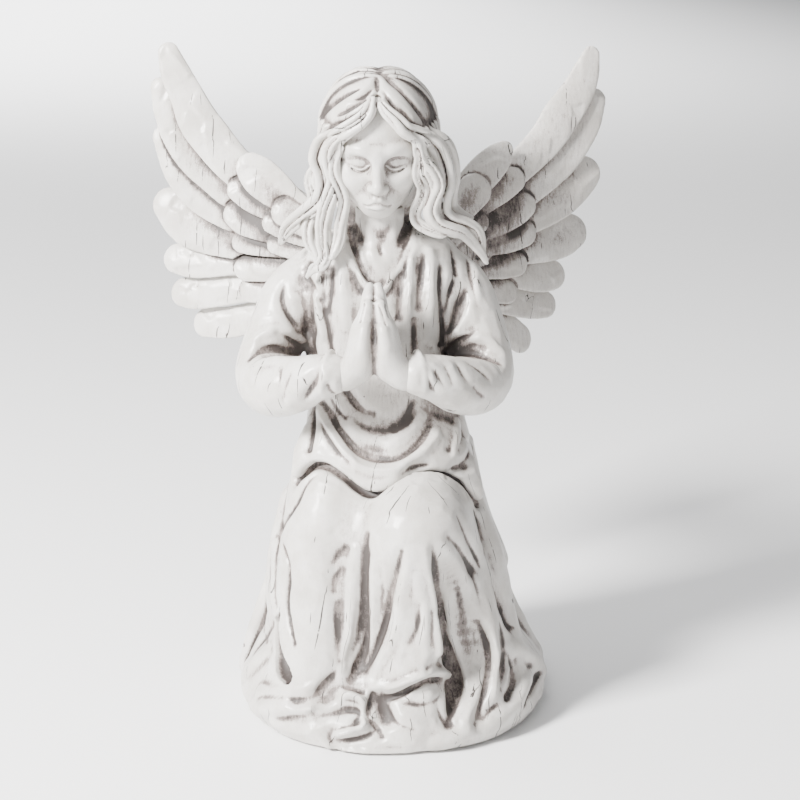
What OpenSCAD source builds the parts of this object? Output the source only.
// Kneeling angel statuette with praying hands and raised wings.
// A set of hollow and solid polyresin castings, glued together on steel dowels.
// Millimetres. The figure faces -Y, +Z is up, and the felt under the base lies on z = 0.
// Left and right are the figure's own: its left side is on +X.

/* [Figure] */
// Height of the crown of the head above the table
crown_z = 364; // [352:1:372]
// Height of the glue joint between the skirt and the torso
waist_z = 154; // [150:1:158]
// Height of the glue joint between the torso and the neck
neck_z = 262; // [260:1:266]
// Distance from the middle to each shoulder's glue face
shoulder_x = 36; // [35:1:37]

/* [Skirt] */
// Width of the spread hem on the table
hem_w = 186; // [180:1:192]
// Depth of the spread hem on the table
hem_d = 192; // [186:1:198]
// Thickness of the cast walls of the skirt
wall = 6; // [5:0.5:8]
// Depth of the cloth folds at the hem
fold_depth = 4; // [2:0.5:5]

/* [Wings] */
// How far out from the wing roots the feather tips reach
wing_reach = 127; // [118:1:130]
// Thickness of one feather
feather_t = 6; // [5:0.5:7]
// How far the left wing is swept back from the shoulders
left_sweep = 27; // [20:1:32]
// How far the right wing is swept back from the shoulders
right_sweep = 20; // [16:1:30]

/* [Base] */
// Thickness of the felt under the base
felt_t = 1.5; // [1:0.5:3]
// Thickness of the plate that closes the hollow skirt
plate_t = 5; // [4:0.5:8]

/* [Dowels] */
// Diameter of the steel dowels in the neck, the shoulders and the wings
dowel_d = 6; // [5:0.5:7]
// Diameter of the steel dowels in the wrists
wrist_dowel_d = 4; // [3:0.5:4]

/* [Hidden] */

glue = 0.1;          // gap that each glue joint leaves
dowel_play = 0.05;   // radial room for glue round a dowel
smooth = 4;          // steps of the curve between two levels of a loft
ring_n = 40;         // points round a body loft
limb_n = 14;         // points round a limb
ivory = [0.90, 0.89, 0.86];
steel = [0.62, 0.63, 0.65];
dark_felt = [0.16, 0.17, 0.17];

// ---------- curves and lofts ----------

// A point on the curve through p1 and p2, with neighbours p0 and p3
function curve_point(p0, p1, p2, p3, t) =
    0.5 * (2 * p1 + (p2 - p0) * t + (2 * p0 - 5 * p1 + 4 * p2 - p3) * t * t
           + (3 * p1 - p0 - 3 * p2 + p3) * t * t * t);

// A smooth list of vectors through the given ones
function curve(v, steps = smooth) =
    let (n = len(v))
    [for (i = [0 : n - 2], s = [0 : steps - 1])
        curve_point(v[max(i - 1, 0)], v[i], v[i + 1], v[min(i + 2, n - 1)], s / steps), v[n - 1]];

// Closes a stack of rings, all with n points, into one solid
module stack(rings) {
    n = len(rings[0]);
    last = len(rings) - 1;
    sides = [for (r = [0 : last - 1], i = [0 : n - 1], half = [0, 1])
        let (j = (i + 1) % n)
        half == 0 ? [r * n + i, (r + 1) * n + i, r * n + j]
                  : [r * n + j, (r + 1) * n + i, (r + 1) * n + j]];
    bottom = [for (i = [0 : n - 1]) i];
    top = [for (i = [n - 1 : -1 : 0]) last * n + i];
    polyhedron([for (ring = rings) each ring], concat(sides, [bottom, top]), convexity = 8);
}

// How far a ring swells out at angle a and height z: bulge = [angle, spread, height, reach up, size]
function swell(bulges, a, z) =
    len(bulges) == 0 ? 0
    : max([for (b = bulges)
        let (turn = (a - b[0] + 540) % 360 - 180)
        b[4] * exp(-pow(turn / b[1], 2) - pow((z - b[2]) / b[3], 2))]);

// A level ring: level = [z, centre x, centre y, half width, half depth, fold depth]
function level_ring(level, folds, bulges, twist = 1.1) =
    [for (i = [0 : ring_n - 1])
        let (a = 360 * i / ring_n,
             out = swell(bulges, a, level[0]) + level[5] * (cos(folds * a + twist * level[0]) - 1) / 2)
        [level[1] + (level[3] + out) * cos(a), level[2] + (level[4] + out) * sin(a), level[0]]];

// A body lofted through levels
module body(levels, folds = 11, bulges = []) {
    stack([for (level = curve(levels)) level_ring(level, folds, bulges)]);
}

// A limb swept along points [x, y, z, radius]; flat is its depth over its width.
// A limb that ends on a glue face leaves it square: from_way and to_way are those directions
module limb(points, flat = 1, across = [0, 1, 0], from_way = undef, to_way = undef) {
    path = curve(points);
    last = len(path) - 1;
    stack([for (k = [0 : last])
        let (run = spot(path[min(k + 1, last)]) - spot(path[max(k - 1, 0)]),
             out = eased(run / norm(run), from_way, k),
             along = eased(out, to_way, last - k),
             side = cross(along, across) / norm(cross(along, across)),
             up = cross(side, along))
        [for (i = [0 : limb_n - 1])
            let (a = -360 * i / limb_n)
            spot(path[k]) + path[k][3] * (side * cos(a) + flat * up * sin(a))]]);
}
function spot(p) = [p[0], p[1], p[2]];
// A direction that starts as way at a glue face and eases into the limb's own run
function eased(run, way, k) =
    is_undef(way) || k >= smooth ? run
    : let (mix = way * (1 - k / smooth) + run * k / smooth) mix / norm(mix);
function mirrored(points, side) = [for (p = points) [side * p[0], p[1], p[2], p[3]]];

// ---------- skirt ----------

// Levels of the kneeling skirt, as shares of the waist height and the hem's size
skirt_levels = [for (s = [[0.00, 6, -2, 0.49, 0.50, 1.0],
                          [0.07, 6, -2, 0.50, 0.50, 1.0],
                          [0.20, 6, -4, 0.45, 0.45, 1.0],
                          [0.34, 5, -6, 0.385, 0.38, 0.8],
                          [0.50, 4, -7, 0.36, 0.33, 0.8],
                          [0.66, 3, -8, 0.335, 0.295, 0.6],
                          [0.80, 3, -9, 0.305, 0.26, 0.5],
                          [0.90, 2, -8, 0.275, 0.23, 0.3],
                          [1.00, 1, -4, 0.24, 0.18, 0.1]])
    [felt_t + s[0] * (waist_z - felt_t), s[1], s[2], s[3] * hem_w, s[4] * hem_d, s[5] * fold_depth]];

// The raised left knee, the right thigh and the trailing cloth at the back
leg_bulges = [[285, 34, 0.68 * waist_z, 0.36 * waist_z, 22], [245, 26, 0.52 * waist_z, 0.4 * waist_z, 10],
              [80, 40, 0.2 * waist_z, 0.2 * waist_z, 8]];

// The hollow inside, one wall smaller, which stops short of the waist
hollow_levels = [for (l = skirt_levels) if (l[0] < waist_z - 3 * wall)
    [l[0], l[1], l[2], l[3] - wall - fold_depth, l[4] - wall - fold_depth, 0]];

module skirt_casting() {
    color(ivory) difference() {
        body(skirt_levels, bulges = leg_bulges);
        translate([0, 0, -glue]) body(hollow_levels);
        closing_recess();
        waist_dowel_places() dowel_hole(waist_dowel_l);
    }
}

// Where the closing plate sits, flush with the underside
plate_hx = 0.36 * hem_w;
plate_hy = 0.36 * hem_d;
module closing_recess() {
    translate([6, -2, felt_t - 1]) linear_extrude(plate_t + 1) oval(plate_hx, plate_hy);
}
module oval(hx, hy) {
    polygon([for (i = [0 : 47]) [hx * cos(7.5 * i), hy * sin(7.5 * i)]]);
}

module closing_plate() {
    color(ivory) translate([6, -2, felt_t]) linear_extrude(plate_t - glue)
        oval(plate_hx - glue, plate_hy - glue);
}

module felt_base() {
    color(dark_felt) translate([6, -2, 0]) linear_extrude(felt_t - 0.02)
        oval(0.455 * hem_w, 0.465 * hem_d);
}

// ---------- torso ----------

shoulder_z = 238;    // height of the shoulder joints
armhole_z = 168;     // lower end of the flat faces that the arms are glued to
torso_levels = [[waist_z + glue, 1, -5, 45, 36, 2],
                [160, 1, -5, 47, 38, 2],
                [172, 1, -4, 44, 35, 1.5],
                [190, 0, -2, 41, 31, 1.5],
                [208, 0, -2, 42, 30, 1.5],
                [226, 0, -1, 46, 31, 1.5],
                [242, 0, 1, 46, 28, 1],
                [254, 0, 2, 38, 24, 0.5],
                [neck_z, 0, 2, 22, 19, 0]];

back_y = 27;         // the flat on the back that the wing roots sit on
module torso_casting() {
    color(ivory) difference() {
        body(torso_levels, folds = 14);
        for (side = [-1, 1]) translate([side * (shoulder_x + 25), 0, armhole_z + 60])
            cube([50, 90, 120], center = true);
        translate([0, back_y + 20, wing_root_z]) cube([100, 40, 44], center = true);
        waist_dowel_places() dowel_hole(waist_dowel_l);
        neck_dowel_place() dowel_hole(neck_dowel_l);
        shoulder_dowel_places() dowel_hole(shoulder_dowel_l);
        wing_dowel_places() dowel_hole(wing_dowel_l);
    }
}

// ---------- arms and hands ----------

cuff_x = 17;         // the sleeves' cuffs, where the hands casting plugs in
function arm_points(side) =
    [[side * (shoulder_x + glue), 0, shoulder_z - 6, 17],
     [side * (shoulder_x + 14), -2, shoulder_z - 9, 18.5],
     [side * (shoulder_x + 23), -8, shoulder_z - 27, 18],
     [side * (shoulder_x + 26), -17, shoulder_z - 44, 19],
     [side * (shoulder_x + 17), -37, shoulder_z - 49, 18],
     [side * (shoulder_x - 2), -55, shoulder_z - 41, 15],
     [side * (cuff_x + glue), -66, shoulder_z - 34, 12.5]];

module arm(side) {
    color(ivory) difference() {
        limb(arm_points(side), across = [0, 0, 1], from_way = [side, 0, 0], to_way = [-side, 0, 0]);
        shoulder_dowel_places() dowel_hole(shoulder_dowel_l);
        wrist_dowel_places() dowel_hole(wrist_dowel_l, wrist_dowel_d);
    }
}

// Two palms pressed together, fingers up and leaning back towards the chest
palm_points = [[3.5, -66, 203, 9], [5.0, -67, 212, 10.5], [5.0, -66, 222, 10.5], [4.5, -62, 236, 9],
               [3.4, -57, 248, 7], [2.4, -54, 256, 4]];
module praying_hands_casting() {
    color(ivory) difference() {
        union() {
            for (side = [-1, 1]) limb(mirrored(palm_points, side), flat = 0.55, across = [1, 0, 0]);
            translate([0, -66, shoulder_z - 34]) rotate([0, 90, 0])
                cylinder(r = 8, h = 2 * cuff_x - glue, center = true, $fn = 48);
        }
        wrist_dowel_places() dowel_hole(wrist_dowel_l, wrist_dowel_d);
    }
}

// ---------- head and hair ----------

head_tilt = 18;      // how far the head bows
head_centre = [0, -14, 324];
// Levels of the head in its own frame: [z, centre x, centre y, half width, half depth, fold]
head_levels = [[-36, 0, -12, 7, 8, 0], [-33, 0, -11, 12, 13, 0], [-24, 0, -8, 18, 19, 0],
               [-8, 0, -3, 22, 25, 0], [8, 0, 0, 23.5, 29, 0], [20, 0, 2, 21, 27, 0],
               [29, 0, 3, 13, 17, 0], [32, 0, 3, 5, 6, 0]];
neck_points = [[0, 1, neck_z + glue, 14], [0, -1, neck_z + 14, 13], [0, -6, neck_z + 30, 13],
               [0, -9, neck_z + 44, 12]];
module in_head() {
    translate(head_centre) rotate([head_tilt, 0, 0]) children();
}
module head_casting() {
    color(ivory) difference() {
        union() {
            in_head() body(head_levels);
            limb(neck_points, from_way = [0, 0, 1]);
        }
        neck_dowel_place() dowel_hole(neck_dowel_l);
    }
}

// The hair is a cap round the skull, open in front of the face, with locks down to the shoulders
hair_levels = [[-60, 0, 19, 22, 9, 2], [-45, 0, 15, 27, 15, 2], [-30, 0, 12, 30, 20, 2],
               [-8, 0, 8, 32, 26, 2], [10, 0, 4, 32, 31, 1.5], [24, 0, 3, 28, 31, 1],
               [35, 0, 3, 19, 22, 0.5], [crown_z - 325, 0, 3, 6, 8, 0]];
left_locks = [[[25, -20, 334, 7], [33, -17, 314, 7], [36, -15, 294, 7], [48, -11, 280, 6],
               [58, -6, 268, 4]],
              [[28, -2, 312, 8], [36, 2, 292, 7], [46, 5, 276, 6], [54, 8, 262, 4]]];
right_locks = [[[-25, -20, 332, 7], [-35, -17, 317, 7], [-41, -13, 295, 7], [-50, -10, 280, 6],
                [-59, -7, 270, 4]],
               [[-26, -14, 318, 7], [-28, -27, 302, 7], [-29, -34, 286, 7], [-32, -39, 270, 6],
                [-34, -41, 256, 5], [-33, -41, 244, 3]],
               [[-28, -2, 312, 8], [-37, 2, 292, 7], [-47, 5, 276, 6], [-54, 8, 262, 4]]];
module hair_casting() {
    color(ivory) difference() {
        union() {
            in_head() body(hair_levels);
            for (lock = concat(left_locks, right_locks)) limb(lock);
        }
        in_head() body([for (l = head_levels) [l[0] * 1.01, l[1], l[2], l[3] + glue, l[4] + glue, 0]]);
        in_head() translate([0, 0, -10]) rotate([90, 0, 0]) linear_extrude(50) face_arch();
        translate([0, -3, neck_z - 4]) cylinder(r = 17, h = 52, $fn = 64);
    }
}
// The pointed opening between the two sides of the parted hair
module face_arch() {
    polygon([[-21, -40], [-22, 6], [-19, 14], [-12, 22], [0, 32], [12, 22], [19, 14], [22, 6], [21, -40]]);
}

// ---------- wings ----------

wing_root_x = 20;    // middle of each wing root, from the middle of the back
wing_root_z = 240;
root_t = 12;         // depth of the wing root block

// Feathers in the wing's own plane, from the root of a wing that reaches drawn_reach out:
// the tips from the top feather down, and the line that the feathers of a row start on
drawn_reach = 127;
left_tips = [[118, 130], [127, 98], [124, 57], [116, 19], [101, -7], [95, -29], [78, -52]];
right_tips = [[112, 134], [122, 104], [121, 78], [121, 42], [117, 8], [111, -17], [98, -38]];
covert_tips = [[62, 68], [73, 50], [77, 36], [74, 19], [70, 2], [65, -15]];
scapular_tips = [[40, 34], [36, 16], [26, -4]];
primary_starts = [[34, 34], [26, 6], [14, -24]];
covert_starts = [[24, 30], [14, 6], [8, -12]];
scapular_starts = [[10, 20], [6, 8], [4, -6]];

// The point at share t along the curve through points p
function along(p, t) =
    let (fine = curve(p, 12), at = t * (len(fine) - 1), i = min(floor(at), len(fine) - 2))
    fine[i] + (fine[i + 1] - fine[i]) * (at - i);
// Half the width of a feather at share t of its length, with a round tip
function half_width(t, w) = w / 2 * (0.62 + 0.42 * t) * sqrt(1 - pow(max(0, (t - 0.8) / 0.2), 2));

// A feather from start to tip, bowed upwards
module feather(start, tip, w, bow = 0.1) {
    n = 14;
    way = tip - start;
    up = [-way[1], way[0]];
    spine = [for (i = [0 : n]) start + way * i / n - bow * up * sin(180 * i / n)];
    side = up / norm(up);
    linear_extrude(feather_t) polygon(concat(
        [for (i = [0 : n]) spine[i] + side * max(half_width(i / n, w), 0.4)],
        [for (i = [n : -1 : 0]) spine[i] - side * max(half_width(i / n, w), 0.4)]));
}

// One row of feathers, each lying over the one below it
module feather_row(tips, starts, w, layer) {
    last = len(tips) - 1;
    for (i = [0 : last])
        translate([0, root_t - feather_t * 0.5 * i / last - 4.2 * layer, 0]) rotate([90, 0, 0])
            rotate([7, 0, 0]) feather(along(starts, i / last), tips[i], w);
}

// A wing on the +X side, rising from its root; the sweep turns it back about the root
module wing(sweep, tips) {
    size = wing_reach / drawn_reach;
    translate([wing_root_x, back_y + glue, wing_root_z]) {
        rotate([0, 0, sweep]) translate([0, 4, 0]) {
            feather_row(size * tips, primary_starts, 23, 0);
            feather_row(size * covert_tips, covert_starts, 19, 1);
            feather_row(size * scapular_tips, scapular_starts, 16, 2);
        }
        translate([2, root_t / 2, 2]) rotate([90, 0, 0])
            cylinder(r = 18, h = root_t, center = true, $fn = 64);
    }
}

module left_wing_casting() {
    color(ivory) difference() {
        wing(left_sweep, left_tips);
        behind_back();
        wing_dowel_places() dowel_hole(wing_dowel_l);
    }
}
module right_wing_casting() {
    color(ivory) difference() {
        mirror([1, 0, 0]) wing(right_sweep, right_tips);
        behind_back();
        wing_dowel_places() dowel_hole(wing_dowel_l);
    }
}
// Keeps both wings behind the flat on the back and out of each other
module behind_back() {
    translate([0, back_y - 50 + glue, 240]) cube([2 * shoulder_x + 60, 100, 200], center = true);
    translate([0, 60, 240]) cube([1, 100, 260], center = true);
}

// ---------- dowels ----------

waist_dowel_l = 36;
neck_dowel_l = 34;
shoulder_dowel_l = 24;
wrist_dowel_l = 16;
wing_dowel_l = 18;

module waist_dowel_places() {
    for (side = [-1, 1]) translate([side * 22, -4, waist_z]) children();
}
module neck_dowel_place() {
    translate([0, 0, neck_z]) children();
}
module shoulder_dowel_places() {
    for (side = [-1, 1]) translate([side * shoulder_x, 0, shoulder_z - 6]) rotate([0, 90, 0]) children();
}
module wrist_dowel_places() {
    for (side = [-1, 1]) translate([side * cuff_x, -66, shoulder_z - 34]) rotate([0, 90, 0]) children();
}
module wing_dowel_places() {
    for (side = [-1, 1], up = [-8, 10]) translate([side * wing_root_x, back_y, wing_root_z + up])
        rotate([90, 0, 0]) children();
}

module dowel(length, d = dowel_d) {
    color(steel) cylinder(d = d, h = length, center = true, $fn = 48);
}
module dowel_hole(length, d = dowel_d) {
    cylinder(r = d / 2 + dowel_play, h = length + 1, center = true, $fn = 48);
}
module waist_dowels() { waist_dowel_places() dowel(waist_dowel_l); }
module neck_dowel() { neck_dowel_place() dowel(neck_dowel_l); }
module shoulder_dowels() { shoulder_dowel_places() dowel(shoulder_dowel_l); }
module wrist_dowels() { wrist_dowel_places() dowel(wrist_dowel_l, wrist_dowel_d); }
module wing_dowels() { wing_dowel_places() dowel(wing_dowel_l); }

skirt_casting();
torso_casting();
head_casting();
hair_casting();
arm(1);  // left_arm_casting
arm(-1);  // right_arm_casting
praying_hands_casting();
left_wing_casting();
right_wing_casting();
waist_dowels();
neck_dowel();
shoulder_dowels();
wrist_dowels();
wing_dowels();
closing_plate();
felt_base();
